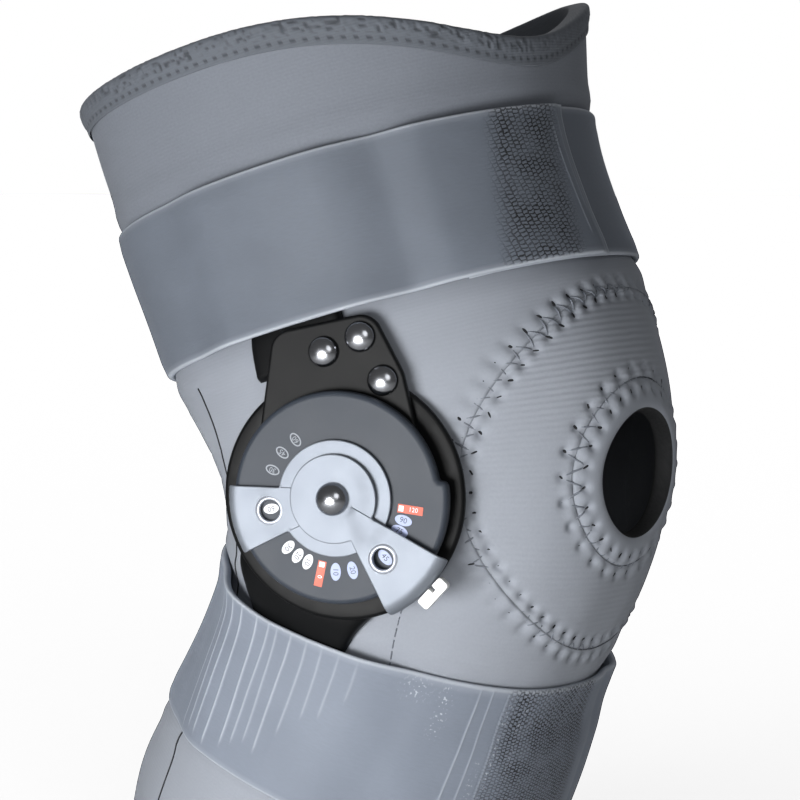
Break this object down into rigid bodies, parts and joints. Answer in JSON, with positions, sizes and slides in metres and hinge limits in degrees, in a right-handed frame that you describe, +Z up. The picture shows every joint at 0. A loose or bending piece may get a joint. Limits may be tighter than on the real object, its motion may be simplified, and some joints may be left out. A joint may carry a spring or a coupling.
{
  "type": "post-op knee brace",
  "caption": "Bent neoprene knee sleeve with a kneecap hole, wide thigh and shin straps, and a side hinge whose dial and stop levers limit how far the knee bends.",
  "frame": {"origin": "on the leg's axis at the knee, level with the bend", "axes": "+X to the front of the knee, -Y to the outer side that carries the hinge, +Z up towards the thigh"},
  "size_m": [0.1907, 0.1603, 0.3198],
  "materials": {
    "neoprene": "matte nylon-faced neoprene",
    "ribbed_knit": "fine cross ribs",
    "padded_rim": "smooth padded rim",
    "edge_tape": "woven edge tape",
    "strap_elastic": "brushed loop-faced elastic",
    "black_nylon": "satin moulded nylon",
    "dial_plastic": "satin moulded plastic",
    "satin_aluminium": "satin anodised",
    "white_plastic": "plain moulded",
    "chromed_steel": "polished dome"
  },
  "bodies": {
    "brace": {"sleeve_body": "neoprene", "knee_panel": "ribbed_knit", "patella_ring": "padded_rim", "top_binding": "edge_tape", "bottom_binding": "edge_tape", "upper_strap": "strap_elastic", "lower_strap": "strap_elastic", "lower_arm": "black_nylon", "upper_arm": "black_nylon", "dial": "dial_plastic", "pivot_rivet": "chromed_steel", "arm_rivet_1": "chromed_steel", "arm_rivet_2": "chromed_steel", "arm_rivet_3": "chromed_steel"},
    "extension_stop": {"extension_lever": "satin_aluminium"},
    "flexion_stop": {"flexion_lever": "satin_aluminium", "lever_tab": "white_plastic"}
  },
  "joints": [
    {"name": "extension_stop_turn", "type": "hinge", "parent": "brace", "child": "extension_stop", "pos_m": [0.00558, -0.06368, 0.00755], "axis": [0.2756, -0.9613, 0], "range_deg": [-64, 55]},
    {"name": "flexion_stop_turn", "type": "hinge", "parent": "brace", "child": "flexion_stop", "pos_m": [0.00558, -0.06368, 0.00755], "axis": [0.2756, -0.9613, 0], "range_deg": [-42, 32]}
  ]
}
